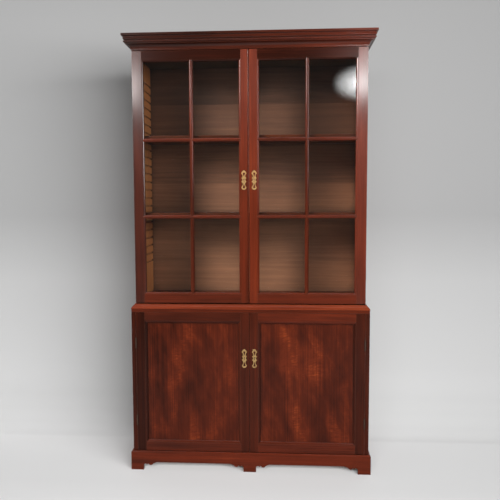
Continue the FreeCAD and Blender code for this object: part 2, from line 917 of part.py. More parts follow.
def cornice_section(back):
    """Section of the cornice from its back edge: foot fillet, cavetto, astragal, cyma and top fillet."""
    foot = cornice_foot_reach
    start_cove = foot + cavetto_quirk
    cove_top = cornice_foot_height + cavetto_radius
    centre = (start_cove + cavetto_radius, cornice_foot_height)
    cove_end = (start_cove + cavetto_radius, cove_top)
    bead = astragal_base
    top = astragal_bottom + 2 * astragal_radius
    half_reach = (bead + cyma_top_reach) / 2
    half_height = (cyma_bottom + cyma_top) / 2
    lower = ((bead + half_reach) / 2 + cyma_swell, (cyma_bottom + half_height) / 2 - cyma_swell)
    upper = ((half_reach + cyma_top_reach) / 2 - cyma_swell, (half_height + cyma_top) / 2 + cyma_swell)
    cove = [((foot, 0),), ((foot, cornice_foot_height),), ((start_cove, cornice_foot_height),),
            (on_arc(centre, cavetto_radius, 135), cove_end), ((cove_end[0], astragal_bottom),)]
    astragal = [((bead, astragal_bottom),), ((bead + astragal_radius, top - astragal_radius), (bead, top))]
    cyma = [((bead, cyma_bottom),), (lower, (half_reach, half_height)), (upper, (cyma_top_reach, cyma_top))]
    crown = [((cornice_reach, cyma_top),), ((cornice_reach, cornice_height),), ((-back, cornice_height),)]
    return cove + astragal + cyma + crown


def cornice_pieces():
    """Front and return lengths of the cornice, mitred at the front corners."""
    back = case_y - door_y + cornice_rail_thick
    half = upper_half + cornice_reach
    front_y = door_y - cornice_reach
    place = lambda s, h: V(-half, door_y - s, case_top + h)
    front = prism((-back, 0), cornice_section(back), place, V(2 * half, 0, 0))
    run = back_y - front_y
    place = lambda s, h: V(upper_half + s, front_y, case_top + h)
    side = prism((-cornice_rail_thick, 0), cornice_section(cornice_rail_thick), place, V(0, run, 0))
    side = side.cut(mitre_block((half, front_y), run))
    rest = mitre_rest((half, front_y), run)
    front = front.cut(rest).cut(mirrored(rest))
    return front.cut(slip_socket(True, True)), [side, mirrored(side)]


def mitre_block(corner, size):
    """Everything in front of the mitre line that runs in from a right-hand corner."""
    x, y = corner
    rest = straight([(x - size, y - overcut), (x - size, y + size)])
    return prism((x + overcut, y - overcut), rest, lambda a, b: V(a, b, 0), V(0, 0, cornice_top + overcut))


def mitre_rest(corner, size):
    """Everything beside the mitre line."""
    x, y = corner
    rest = straight([(x + size, y - overcut), (x + size, y + size), (x - size, y + size)])
    return prism((x + overcut, y - overcut), rest, lambda a, b: V(a, b, 0), V(0, 0, cornice_top + overcut))


def waist_section(back):
    """Section of the waist moulding: lip, hollow and top fillet. s is the reach past the lower case."""
    top_edge = -(lower_step - waist_top_flat)
    hollow_low = (0.0, waist_fillet)
    hollow_high = (top_edge, waist_height - waist_top_fillet)
    run = hollow_low[0] - hollow_high[0]
    rise = hollow_high[1] - hollow_low[1]
    middle = (hollow_low[0] - run * round_share, hollow_low[1] + rise * waist_hollow_share)
    return [((waist_lip, 0),), ((waist_lip, waist_fillet),), (hollow_low,), (middle, hollow_high),
            ((top_edge, waist_height),), ((-back, waist_height),)]


def waist_pieces():
    """Front and return lengths of the waist moulding, mitred at the front corners."""
    depth = case_y - lower_y
    half = lower_half + waist_lip
    front_y = lower_y - waist_lip
    place = lambda s, h: V(-half, lower_y - s, waist_z + h)
    front = prism((-depth, 0), waist_section(depth), place, V(2 * half, 0, 0))
    run = back_y - front_y
    place = lambda s, h: V(lower_half + s, front_y, waist_z + h)
    side = prism((-lower_step, 0), waist_section(lower_step), place, V(0, run, 0))
    side = side.cut(mitre_block((half, front_y), run))
    rest = mitre_rest((half, front_y), run)
    front = front.cut(rest).cut(mirrored(rest))
    return [front.cut(slip_socket(True, False)), side, mirrored(side)]


# Plinth with its bracket feet

def bracket(inner, way):
    """Lower line of one bracket from the floor beside a foot up to the apron: hollow, two lobes, rise."""
    r = hollow_radius
    top = bracket_neck + r
    low = top - lobe_drop
    at = lambda run, rise: (inner + way * run, rise)
    hollow = (at(r * round_share, top - r * round_share), at(r, top))
    first = 2 * r
    second = first + lobe_width
    return [(at(0, bracket_neck),), hollow, (at(r + bracket_step, top),), (at(first, low),),
            (at(first + lobe_width / 2, top), at(second, low)),
            (at(second + lobe_tip, low - lobe_sag), at(second + 2 * lobe_tip, (low + plinth_rise) / 2)),
            (at(bracket_reach, plinth_rise),)]


def arch(left, right):
    """Lower line of the apron between two feet, from the left foot's inner edge to the right foot's."""
    far = bracket(right, -1)
    return bracket(left, 1) + [(far[-1][-1],)] + reverse_steps((right, 0.0), far)


def plinth_front_board():
    """Front of the plinth with three feet, its top edge rounded, mitred at the ends."""
    half = plinth_half
    inner = half - foot_width
    foot = foot_width / 2
    line = [((-inner, 0.0),)] + arch(-inner, -foot) + [((foot, 0.0),)] + arch(foot, inner)
    line += straight([(half, 0.0), (half, plinth_height), (-half, plinth_height)])
    line = flats((-half, 0.0), line, bracket_flats)
    board = prism((-half, 0.0), line, lambda x, z: V(x, plinth_y, z), V(0, plinth_thick, 0))
    end = half + overcut
    place = lambda s, h: V(-end, plinth_y + s, plinth_height - h)
    board = board.cut(round_waste(plinth_ovolo, place, V(2 * end, 0, 0)))
    rest = mitre_rest((half, plinth_y), overall_depth)
    return board.cut(rest).cut(mirrored(rest))


def plinth_return():
    """Right-hand side of the plinth with a front and a back foot."""
    length = back_y - plinth_y
    line = [((foot_width, 0.0),)] + arch(foot_width, length - foot_width)
    line += straight([(length, 0.0), (length, plinth_height), (0.0, plinth_height)])
    line = flats((0.0, 0.0), line, bracket_flats)
    x0 = plinth_half - plinth_thick
    board = prism((0.0, 0.0), line, lambda s, z: V(x0, plinth_y + s, z), V(plinth_thick, 0, 0))
    place = lambda s, h: V(plinth_half - s, plinth_y - overcut, plinth_height - h)
    board = board.cut(round_waste(plinth_ovolo, place, V(0, length + 2 * overcut, 0)))
    return board.cut(mitre_block((plinth_half, plinth_y), overall_depth))


def plinth_back():
    """Plain back rail of the plinth, cut up between two plain feet."""
    half = plinth_half - plinth_thick
    inner = half - foot_width
    near = inner - bracket_neck
    top = plinth_height - case_board_thick
    line = straight([(-inner, 0.0), (-near, plinth_rise), (near, plinth_rise), (inner, 0.0),
                     (half, 0.0), (half, top), (-half, top)])
    y0 = back_board_y - plinth_thick
    return prism((-half, 0.0), line, lambda x, z: V(x, y0, z), V(0, plinth_thick, 0))


def plinth_blocks(avoid):
    """Glue blocks behind the feet and along the plinth, under the bottom board."""
    top = plinth_height - case_board_thick
    y0 = plinth_y + plinth_thick
    y1 = y0 + block_width
    inner = plinth_half - plinth_thick
    foot_block = box(inner - block_width, inner, y0, y1, block_air, top)
    centre_block = box(-block_width / 2, block_width / 2, y0, y1, block_air, top)
    blocks = [foot_block, mirrored(foot_block), centre_block]
    for share in block_shares:
        x = inner * share
        block = box(x - block_length / 2, x + block_length / 2, y0, y1, plinth_rise + block_rise, top)
        blocks += [block, mirrored(block)]
    cleared = []
    for block in blocks:
        for other in avoid:
            block = block.cut(other)
        cleared += block.Solids
    return cleared


def cornice_frame():
    """Back rail of the cornice and the blocks in the angle behind its front."""
    y0 = case_y + cornice_rail_thick
    half = upper_half - cornice_rail_thick
    top = cornice_top - astragal_radius
    pieces = [box(-half, half, back_y - cornice_rail_thick, back_y, case_top, top)]
    pitch = 2 * half / cornice_block_count
    wedge = straight([(glue_block_size, 0), (0, glue_block_size)])
    for i in range(cornice_block_count):
        x = -half + (i + 0.5) * pitch - block_length / 2
        pieces.append(prism((0, 0), wedge, lambda s, h: V(x, y0 + s, case_top + h), V(block_length, 0, 0)))
    return pieces


def seam_bead(stile):
    """Quirk and bead worked on the front of the left upper meeting stile, along the seam."""
    r = seam_bead_width / 2
    a = r * round_share
    far = seam_bead_width + seam_bead_quirk
    z0, z1 = door_levels(True)
    place = lambda u, v: V(meeting_x + u, door_y + v, z0 - overcut)
    run = V(0, 0, z1 - z0 + 2 * overcut)
    steps = [((2 * r - a, a), (2 * r, r)), ((far, r),), ((far, -overcut),), ((r, -overcut),)]
    return stile.cut(round_waste(r, place, run)).cut(prism((r, 0), steps, place, run))


def build_door(upper, side):
    """One door with its frame, filling, plate and hinge leaves."""
    name = ("upper" if upper else "lower") + ("_right_" if side > 0 else "_left_")
    hanging = cut_hinges(door_stile(upper, True), upper, True)
    meeting = door_stile(upper, False)
    rails = [door_rail(upper, False), door_rail(upper, True)]
    filling = glazing_bars([hanging, meeting] + rails) if upper else [door_panel()]
    if side > 0:
        face = door_y if upper else lower_y
        key_way = keyhole(plate_level(upper), face - overcut, upper_door_thick)
        meeting = meeting.cut(lock_box(upper)).cut(key_way)
        save(name + "lock_case", lock_case(upper))
        save(name + "lock_bolt", lock_bolt(upper, 0))
    else:
        for top in (False, True):
            meeting = meeting.cut(slip_room(upper, top))
        meeting = meeting.cut(mirrored(lock_socket(upper)))
        if upper:
            meeting = seam_bead(meeting)
        save(name + "bolt_plates", [mirrored(slip_plate(upper, top)) for top in (False, True)])
        save(name + "bottom_bolt", mirrored(slip_bolt(upper, False)))
        save(name + "top_bolt", mirrored(slip_bolt(upper, True)))
    save(name + "hanging_stile", sided(hanging, side))
    save(name + "meeting_stile", sided(meeting, side))
    save(name + "rails", [sided(rail, side) for rail in rails])
    save(name + ("glazing_bars" if upper else "panel"), [sided(piece, side) for piece in filling])
    if upper:
        save(name + "glass", [sided(pane, side) for pane in panes()])
    save(name + "escutcheon", sided(escutcheon(upper), side))
    save(name + "hinge_leaves", [sided(hinge_leaf(upper, True, z), side) for z in hinge_levels(upper)])


def build_upper_case():
    """Sides, boards, back, shelves and cornice of the upper part."""
    side = upper_side()
    save("upper_side_right", side)
    save("upper_side_left", mirrored(side))
    top, bottom = upper_boards()
    save("upper_top_board", top)
    save("upper_bottom_board", bottom)
    save("upper_base_rail", upper_base_rail())
    half = upper_in + back_rebate
    save("upper_back_boards", back_boards(half, waist_z, case_top, upper_back_count))
    save("upper_shelves", [shelf(groove_level(i)) for i in (low_shelf_count, high_shelf_count)])
    front, returns = cornice_pieces()
    save("cornice_front", front)
    save("cornice_returns", returns)
    save("cornice_frame", cornice_frame())


def build_lower_case():
    """Sides, boards, back, shelf, waist moulding and plinth of the lower part."""
    side = lower_side()
    sides = [side, mirrored(side)]
    save("lower_side_right", side)
    save("lower_side_left", mirrored(side))
    save("lower_top_board", lower_top_board(sides))
    save("lower_bottom_board", lower_floor_board().cut(slip_socket(False, False)))
    half = lower_in + back_rebate
    bottom = plinth_height - case_board_thick
    save("lower_back_boards", back_boards(half, bottom, lower_ceiling, lower_back_count))
    save("lower_shelf", lower_shelf())
    save("lower_bearers_and_stops", bearers_and_stops())
    save("waist_moulding", waist_pieces())
    back = plinth_back()
    save("plinth_front", plinth_front_board())
    plinth_side = plinth_return()
    save("plinth_returns", [plinth_side, mirrored(plinth_side)])
    save("plinth_back_rail", back.cut(side).cut(mirrored(side)))
    save("plinth_glue_blocks", plinth_blocks(sides))


def build_fixed_hinges():
    """Case leaves and pins of all the hinges."""
    leaves = []
    pins = []
    for upper in (True, False):
        for level in hinge_levels(upper):
            for side in (-1, 1):
                leaves.append(sided(hinge_leaf(upper, False, level), side))
                pins.append(sided(hinge_pin(upper, level), side))
    save("hinge_case_leaves", leaves)
    save("hinge_pins", pins)


os.makedirs("parts", exist_ok=True)
build_upper_case()
build_lower_case()
build_fixed_hinges()
for is_upper in (True, False):
    for door_side in (-1, 1):
        build_door(is_upper, door_side)
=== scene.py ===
"""Looks, light and camera for a tall mahogany bookcase with glazed doors over a panelled cupboard."""
import math
import random

import bmesh
import bpy
import numpy as np
from mathutils import Matrix, Vector


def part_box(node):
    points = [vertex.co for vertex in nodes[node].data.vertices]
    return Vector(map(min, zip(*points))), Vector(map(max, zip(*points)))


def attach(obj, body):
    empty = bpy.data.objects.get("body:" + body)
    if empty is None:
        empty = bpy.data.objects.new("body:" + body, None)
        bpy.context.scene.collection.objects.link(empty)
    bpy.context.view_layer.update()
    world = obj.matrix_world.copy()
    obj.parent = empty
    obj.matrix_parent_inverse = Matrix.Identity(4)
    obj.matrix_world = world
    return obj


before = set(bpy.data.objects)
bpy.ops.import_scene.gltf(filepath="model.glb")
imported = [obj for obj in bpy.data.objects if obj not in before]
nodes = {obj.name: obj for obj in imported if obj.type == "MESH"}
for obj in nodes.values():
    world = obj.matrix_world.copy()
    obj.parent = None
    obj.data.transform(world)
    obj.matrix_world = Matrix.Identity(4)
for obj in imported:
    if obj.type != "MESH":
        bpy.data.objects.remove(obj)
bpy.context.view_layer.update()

# Camera, fitted to the photograph's long edges: metres, degrees and millimetres
CAMERA_PLACE = (0.18496, -3.18667, 1.40774)
CAMERA_TURN = (85.59806, 0.19255, 3.40344)
CAMERA_LENS = 42.38
CAMERA_SENSOR = 36.0
CAMERA_REACH = 50.0

# Wood: how light each visible piece is, from 0 dark to 1 light
TONES = {
    "cornice_front": 0.25, "cornice_returns": 0.3,
    "upper_left_hanging_stile": 0.2, "upper_right_hanging_stile": 0.58,
    "upper_left_meeting_stile": 0.48, "upper_right_meeting_stile": 0.58,
    "upper_left_glazing_bars": 0.4, "upper_right_glazing_bars": 0.45,
    "waist_moulding": 0.71, "lower_top_board": 0.42,
    "upper_side_left": 0.4, "upper_side_right": 0.45, "lower_side_left": 0.12, "lower_side_right": 0.25,
    # The upper top board is set far darker: painted shade on the underside of the case top
    "upper_top_board": -0.35, "upper_shelves": 0.32,
    "lower_left_hanging_stile": 0.03, "lower_right_hanging_stile": 0.15,
    "lower_left_meeting_stile": 0.26, "lower_right_meeting_stile": 0.25,
    "lower_left_panel": 0.43, "lower_right_panel": 0.48,
    "plinth_front": 0.52, "plinth_returns": 0.55,
}
# Bottom and top rail of each door
RAIL_TONES = {
    "upper_left_rails": (0.4, -0.04), "upper_right_rails": (0.48, 0.1),
    "lower_left_rails": (0.34, 0.3), "lower_right_rails": (0.47, 0.48),
}
# Back boards at the bottom, and the painted shade that darkens them up to the top with the square of the
# height
BACK_TONE = 0.8
BACK_PAINTED_SHADE = 0.75
# Every other board, and how far such a board or a back board may vary either way
PLAIN_TONE = 0.45
TONE_WOBBLE = 0.06
# Change of lightness per metre to the right; on the cornice front it is a painted sheen that grows towards
# its right end
LEANS = {"cornice_front": 0.36, "plinth_front": 0.05, "waist_moulding": 0.2,
         "lower_left_panel": 0.3, "lower_right_panel": -0.3}
# Painted light on the inner faces of the upper sides, which leaves them in painted shade under the top:
# lightness at the top, more for each metre down, and the most
PAINTED_LIGHT_AT_TOP = 0.1
PAINTED_LIGHT_PER_METRE = 1.2
PAINTED_LIGHT_MOST = 0.45

# Share of fresh polish left on the wood
POLISH = {"upper_left_hanging_stile": 0.85, "upper_right_hanging_stile": 0.85, "cornice_front": 0.35,
          "cornice_returns": 0.15, "waist_moulding": 0.03, "lower_left_rails": 0.1, "lower_right_rails": 0.1}
UPPER_POLISH = 0.18
LOWER_POLISH = 0.07
# Boards inside that are a little faded, and by how much
DRY_BOARDS = ("upper_shelves", "upper_bottom_board", "lower_shelf")
DRY_SHARE = 0.1

# Colours as linear red, green and blue, each with its place where they form a ramp
POLISHED_WOOD = [(0.0, (0.018, 0.0036, 0.0016)), (0.3, (0.052, 0.0088, 0.0034)),
                 (0.62, (0.115, 0.0165, 0.0055)), (1.0, (0.24, 0.042, 0.013))]
FADED_WOOD = [(0.0, (0.12, 0.038, 0.013)), (0.5, (0.37, 0.122, 0.036)), (1.0, (0.56, 0.22, 0.075))]
FIGURED_WOOD = [(0.0, (0.026, 0.0046, 0.0018)), (0.35, (0.062, 0.0096, 0.0034)),
                (0.65, (0.116, 0.0175, 0.0052)), (1.0, (0.25, 0.046, 0.011))]
BACK_WOOD = [(0.0, (0.04, 0.015, 0.007)), (0.5, (0.12, 0.048, 0.024)), (1.0, (0.3, 0.13, 0.066))]
PINE = [(0.0, (0.05, 0.025, 0.011)), (0.5, (0.33, 0.19, 0.085)), (1.0, (0.5, 0.33, 0.17))]
PUTTY = [(0.3, (0.075, 0.04, 0.022)), (0.7, (0.2, 0.13, 0.08))]
PUTTY_CRACKS = (0.02, 0.012, 0.008)
WOOD_PORES = (0.010, 0.003, 0.0015)
RUBBED_EDGES = (0.30, 0.085, 0.035)
# Grime and painted shade in the recesses of the polished wood
GRIME_AND_PAINTED_SHADE = (0.011, 0.0045, 0.003)
# Painted shade round the cupboard panels
PANEL_PAINTED_SHADE = (0.011, 0.0042, 0.0024)
GLASS_TINT = (0.93, 0.965, 0.94, 1.0)

# Pores per metre along the wood coordinates, and the levels of their noise between which they open
PORES_PER_METRE = (1700.0, 1700.0, 40.0)
PORE_LEVELS = (0.62, 0.74)
# Lean of the flames on the panels, in degrees
FLAME_LEAN = 10.0
# Lean of the grain that keeps it off the normal of an end
OFF_AXIS = (0.013, 0.017, 0.011)
# Likeness of the flat and the rounded normal, from a face to a full edge
EDGE_LIKENESS = (0.995, 0.8)
# Share of a lamp's light that a pane lets through
GLASS_CLEARNESS = 0.93
# Name, bright and dull colour, how metallic and how rough
METALS = {
    "brass": ("aged_brass", (0.53, 0.34, 0.14), (0.16, 0.078, 0.028), 0.85, 0.44),
    "lock_brass": ("dull_brass", (0.5, 0.36, 0.15), (0.12, 0.065, 0.03), 0.9, 0.45),
    "hinge_brass": ("tarnished_brass", (0.06, 0.03, 0.016), (0.015, 0.007, 0.005), 0.4, 0.6),
    "steel": ("worn_steel", (0.45, 0.44, 0.42), (0.09, 0.06, 0.045), 0.95, 0.4),
}


class Graph:
    """A node tree, built by short calls that return output sockets."""

    def __init__(self, tree):
        self.tree = tree

    def node(self, kind, inputs=(), **settings):
        made = self.tree.nodes.new(kind)
        for key, value in settings.items():
            setattr(made, key, value)
        for key, value in dict(inputs).items():
            self.feed(made.inputs[key], value)
        return made

    def feed(self, socket, value):
        """Link a socket to another one, or set its value."""
        if isinstance(value, bpy.types.NodeSocket):
            self.tree.links.new(value, socket)
        else:
            socket.default_value = value

    def attribute(self, name, output="Fac"):
        return self.node("ShaderNodeAttribute", attribute_name=name).outputs[output]

    def stretch(self, place, factors):
        return self.node("ShaderNodeVectorMath", {0: place, 1: factors}, operation="MULTIPLY").outputs[0]

    def shift(self, place, way):
        return self.node("ShaderNodeVectorMath", {0: place, 1: way}, operation="ADD").outputs[0]

    def noise(self, place, scale=1.0, detail=3.0, roughness=0.5, output="Fac"):
        inputs = {"Vector": place, "Scale": scale, "Detail": detail, "Roughness": roughness}
        return self.node("ShaderNodeTexNoise", inputs).outputs[output]

    def figure(self, place, per_metre, **settings):
        """Noise with its own number of features per metre along each coordinate."""
        return self.noise(self.stretch(place, per_metre), **settings)

    def math(self, operation, a, b):
        return self.node("ShaderNodeMath", {0: a, 1: b}, operation=operation).outputs[0]

    def times(self, a, b):
        return self.math("MULTIPLY", a, b)

    def sum(self, base, *shares):
        """base plus each (socket, share) taken about its middle of one half."""
        total = base
        for socket, share in shares:
            centred = self.math("SUBTRACT", socket, 0.5)
            total = self.math("ADD", total, self.times(centred, share))
        return total

    def band(self, value, low, high, out_low=0.0, out_high=1.0):
        inputs = {"Value": value, "From Min": low, "From Max": high, "To Min": out_low, "To Max": out_high}
        return self.node("ShaderNodeMapRange", inputs, clamp=True).outputs["Result"]

    def ramp(self, value, stops):
        made = self.node("ShaderNodeValToRGB", {"Fac": value})
        elements = made.color_ramp.elements
        while len(elements) < len(stops):
            elements.new(1.0)
        for element, (place, colour) in zip(elements, stops):
            element.position = place
            element.color = (*colour, 1.0)
        return made.outputs["Color"]

    def mix(self, share, under, over):
        """A colour with a share of another one over it, which is plain or computed."""
        over = (*over, 1.0) if isinstance(over, tuple) else over
        inputs = {0: share, 6: under, 7: over}
        return self.node("ShaderNodeMix", inputs, data_type="RGBA", clamp_factor=True).outputs[2]

    def bump(self, height, strength, distance, normal=None):
        inputs = {"Height": height, "Strength": strength, "Distance": distance}
        if normal is not None:
            inputs["Normal"] = normal
        return self.node("ShaderNodeBump", inputs).outputs["Normal"]

    def edges(self, radius):
        """Normal rounded at the edges, and how near an edge a point lies."""
        rounded = self.node("ShaderNodeBevel", {"Radius": radius}, samples=4).outputs["Normal"]
        flat = self.node("ShaderNodeNewGeometry").outputs["Normal"]
        likeness = self.node("ShaderNodeVectorMath", {0: rounded, 1: flat}, operation="DOT_PRODUCT")
        return rounded, self.band(likeness.outputs["Value"], *EDGE_LIKENESS)

    def recess(self, distance):
        """One in the open, towards nothing in a corner."""
        return self.node("ShaderNodeAmbientOcclusion", {"Distance": distance}, samples=4).outputs["AO"]

    def grain_gloss(self):
        """Shader inputs for gloss that spreads across the grain."""
        grain = self.shift(self.attribute("wood_grain", "Vector"), OFF_AXIS)
        world_grain = self.node("ShaderNodeVectorTransform", {0: grain}, vector_type="VECTOR",
                                convert_from="OBJECT", convert_to="WORLD").outputs[0]
        return {"Anisotropic": 0.75, "Anisotropic_Rotation": 0.25, "Tangent": world_grain}

    def surface(self, **inputs):
        shader = self.node("ShaderNodeBsdfPrincipled")
        for key, value in inputs.items():
            self.feed(shader.inputs[key.replace("_", " ")], value)
        self.node("ShaderNodeOutputMaterial", {"Surface": shader.outputs[0]})


# Materials

def new_material(name):
    """An empty material and the graph that fills it."""
    material = bpy.data.materials.new(name)
    material.use_nodes = True
    material.node_tree.nodes.clear()
    return material, Graph(material.node_tree)


def mahogany(name):
    """Old polished mahogany, grain along the third wood coordinate."""
    material, g = new_material(name)
    place = g.attribute("wood_place", "Vector")
    raw = g.attribute("wood_raw")
    polish = g.attribute("wood_polish")
    sway = g.figure(place, (7.0, 7.0, 1.1), detail=2.0, output="Color")
    bent = g.shift(place, g.stretch(sway, (0.035, 0.035, 0.0)))
    ribbon = g.figure(bent, (46.0, 46.0, 1.1))
    streak = g.figure(bent, (260.0, 260.0, 4.0), roughness=0.6)
    cloud = g.figure(place, (9.0, 9.0, 2.6), detail=2.0)
    pore = g.figure(place, PORES_PER_METRE, detail=1.0)
    lightness = g.sum(g.attribute("wood_tone"), (ribbon, 0.5), (streak, 0.4), (cloud, 0.5))
    wood = g.mix(raw, g.ramp(lightness, POLISHED_WOOD), g.ramp(lightness, FADED_WOOD))
    wood = g.mix(g.band(pore, *PORE_LEVELS, 0.0, 0.55), wood, WOOD_PORES)
    rounded, edge = g.edges(0.0016)
    open_air = g.recess(0.022)
    wood = g.mix(g.times(g.times(edge, open_air), 0.35), wood, RUBBED_EDGES)
    # Grime and painted shade: darker in the recesses
    wood = g.mix(g.band(open_air, 0.82, 0.3, 0.0, 0.85), wood, GRIME_AND_PAINTED_SHADE)
    gloss = g.sum(0.3, (cloud, 0.12), (streak, 0.1))
    height = g.sum(0.5, (streak, 0.6), (pore, 0.5))
    g.surface(Base_Color=wood, Roughness=g.math("ADD", gloss, g.times(raw, 0.25)),
              Normal=g.bump(height, 0.35, 0.0003, rounded), **g.grain_gloss(),
              Specular_IOR_Level=g.band(polish, 0.0, 1.0, 0.06, 0.2),
              Coat_Weight=g.math("ADD", polish, g.times(edge, 0.8)),
              Coat_Roughness=g.sum(0.155, (cloud, 0.1)))
    return material


def flame_mahogany(name):
    """Figured mahogany of the cupboard panels: upright streaks, leaning flames and small cross ripples."""
    material, g = new_material(name)
    place = g.attribute("wood_place", "Vector")
    leaning = g.node("ShaderNodeVectorRotate", {"Vector": place, "Angle": math.radians(FLAME_LEAN)},
                     rotation_type="Y_AXIS").outputs[0]
    sway = g.figure(place, (3.0, 3.0, 2.2), detail=2.0, output="Color")
    bent = g.shift(leaning, g.stretch(sway, (0.10, 0.10, 0.10)))
    flame = g.figure(bent, (11.0, 11.0, 4.2), roughness=0.6)
    ripple = g.figure(bent, (45.0, 45.0, 150.0), detail=2.0)
    streak = g.figure(place, (170.0, 170.0, 1.6), detail=4.0, roughness=0.65)
    pore = g.figure(place, PORES_PER_METRE, detail=1.0)
    shimmer = g.times(g.band(flame, 0.5, 0.68), g.math("SUBTRACT", ripple, 0.5))
    lightness = g.sum(g.attribute("wood_tone"), (flame, 1.5), (streak, 0.85))
    wood = g.ramp(g.math("ADD", lightness, g.times(shimmer, 0.8)), FIGURED_WOOD)
    wood = g.mix(g.band(pore, *PORE_LEVELS, 0.0, 0.5), wood, WOOD_PORES)
    # Painted shade in the corners beside the frame, least along the panel's foot
    corner = g.band(g.recess(0.03), 1.0, 0.74, 0.0, 0.95)
    share_of_height = g.node("ShaderNodeSeparateXYZ", {0: g.node("ShaderNodeTexCoord").outputs["Generated"]})
    shade_above_foot = g.band(share_of_height.outputs[2], 0.02, 0.12, 0.25, 1.0)
    wood = g.mix(g.times(corner, shade_above_foot), wood, PANEL_PAINTED_SHADE)
    height = g.sum(0.5, (streak, 0.5), (pore, 0.5))
    g.surface(Base_Color=wood, Roughness=g.sum(0.32, (flame, 0.12), (streak, 0.08)),
              Normal=g.bump(height, 0.3, 0.0003), **g.grain_gloss(), Specular_IOR_Level=0.07,
              Coat_Weight=g.attribute("wood_polish"), Coat_Roughness=0.14)
    return material


def plain_wood(name, colours):
    """Unpolished secondary wood with broad grain, stains and painted shade in its corners."""
    material, g = new_material(name)
    place = g.attribute("wood_place", "Vector")
    sway = g.figure(place, (5.0, 5.0, 0.8), detail=2.0, output="Color")
    bent = g.shift(place, g.stretch(sway, (0.06, 0.06, 0.0)))
    ring = g.figure(bent, (70.0, 70.0, 1.0), roughness=0.55)
    streak = g.figure(bent, (420.0, 420.0, 7.0), detail=2.0)
    stain = g.figure(place, (5.0, 5.0, 3.0))
    wood = g.ramp(g.sum(g.attribute("wood_tone"), (ring, 0.45), (streak, 0.2), (stain, 0.5)), colours)
    # Painted shade: darker towards the corners
    darkest = colours[0][1]
    wood = g.mix(g.band(g.recess(0.05), 0.8, 0.3, 0.0, 0.6), wood, tuple(0.2 * c for c in darkest))
    height = g.sum(0.5, (ring, 0.5), (streak, 0.8))
    g.surface(Base_Color=wood, Roughness=g.sum(0.62, (stain, 0.2)), Normal=g.bump(height, 0.5, 0.0005),
              Specular_IOR_Level=0.25)
    return material


def old_metal(name, bright, dull, metallic, roughness):
    """Worn metal: bright where hands rub it, browned in the hollows."""
    material, g = new_material(name)
    place = g.node("ShaderNodeTexCoord").outputs["Object"]
    patch = g.noise(place, scale=95.0, detail=4.0, roughness=0.65)
    speck = g.noise(place, scale=900.0, detail=2.0)
    rounded, edge = g.edges(0.0007)
    tarnish = g.math("SUBTRACT", g.sum(0.42, (patch, 1.5), (speck, 0.5)), g.times(edge, 0.4))
    tarnish = g.math("ADD", tarnish, g.band(g.recess(0.006), 0.8, 0.3, 0.0, 0.7))
    between = tuple(0.5 * (a + b) for a, b in zip(bright, dull))
    height = g.sum(0.5, (patch, 0.5), (speck, 0.6))
    g.surface(Base_Color=g.ramp(tarnish, [(0.25, bright), (0.62, between), (1.0, dull)]), Metallic=metallic,
              Roughness=g.sum(roughness, (patch, 0.25), (speck, 0.1)),
              Normal=g.bump(height, 0.25, 0.0002, rounded))
    return material


def old_glass(name):
    """Old crown glass: faintly green, with slow waves and a film of dust.

    It bends and mirrors what the camera sees in it. Soft light and the mirror images of other things pass
    straight through it, and so does most of a lamp's light.
    """
    material, g = new_material(name)
    place = g.node("ShaderNodeTexCoord").outputs["Object"]
    wave = g.noise(g.stretch(place, (1.0, 1.0, 0.6)), scale=6.5, detail=0.8)
    dust = g.noise(place, scale=5.0, detail=1.0)
    path = g.node("ShaderNodeLightPath").outputs
    outside = g.math("SUBTRACT", 1.0, g.math("MODULO", path["Transmission Depth"], 2.0))
    mirrored = g.math("SUBTRACT", path["Is Glossy Ray"], path["Is Transmission Ray"])
    passing = g.math("MAXIMUM", path["Is Diffuse Ray"], g.times(mirrored, outside))
    passing = g.math("MAXIMUM", passing, g.times(path["Is Shadow Ray"], GLASS_CLEARNESS))
    g.surface(Base_Color=GLASS_TINT, Roughness=g.band(dust, 0.3, 0.8, 0.006, 0.022), Transmission_Weight=1.0,
              IOR=1.3, Alpha=g.math("SUBTRACT", 1.0, passing), Normal=g.bump(wave, 0.13, 0.002))
    return material


def old_putty(name):
    """Hard old glazing putty, stained brown with fine cracks."""
    material, g = new_material(name)
    place = g.node("ShaderNodeTexCoord").outputs["Object"]
    stain = g.noise(place, scale=40.0, detail=4.0)
    crack = g.node("ShaderNodeTexVoronoi", {"Vector": place, "Scale": 130.0},
                   feature="DISTANCE_TO_EDGE").outputs[0]
    colour = g.mix(g.band(crack, 0.04, 0.0, 0.0, 0.7), g.ramp(stain, PUTTY), PUTTY_CRACKS)
    g.surface(Base_Color=colour, Roughness=g.sum(0.75, (stain, 0.2)), Normal=g.bump(crack, 0.4, 0.0004))
    return material


MATERIALS = {
    "mahogany": mahogany("polished_mahogany"),
    "flame_mahogany": flame_mahogany("figured_mahogany"),
    "back_wood": plain_wood("stained_back_wood", BACK_WOOD),
    "pine": plain_wood("old_pine", PINE),
    "glass": old_glass("crown_glass"),
    "putty": old_putty("old_putty"),
    **{slot: old_metal(*settings) for slot, settings in METALS.items()},
}
WOODS = ("mahogany", "flame_mahogany", "back_wood", "pine")


# Wood coordinates: the third one runs along the grain of each board

# Corners that agree to a hundredth of a millimetre are one
STEPS_PER_METRE = 1e5
# Faces of the upper sides that lie within the reach of the shelves and this much more are inner ones
INNER_MARGIN = 0.0005
# Shift of the first wood coordinate that sets boards along different axes apart
AXIS_SHIFT = 0.7


def shells(mesh):
    """Number of the board that each polygon belongs to: a board ends where all its edges have closed."""
    keys = [tuple(round(c * STEPS_PER_METRE) for c in vertex.co) for vertex in mesh.vertices]
    open_edges = set()
    number = 0
    numbers = []
    for polygon in mesh.polygons:
        numbers.append(number)
        ring = [keys[v] for v in polygon.vertices]
        for a, b in zip(ring, ring[1:] + ring[:1]):
            open_edges ^= {frozenset((a, b))}
        if not open_edges:
            number += 1
    return numbers


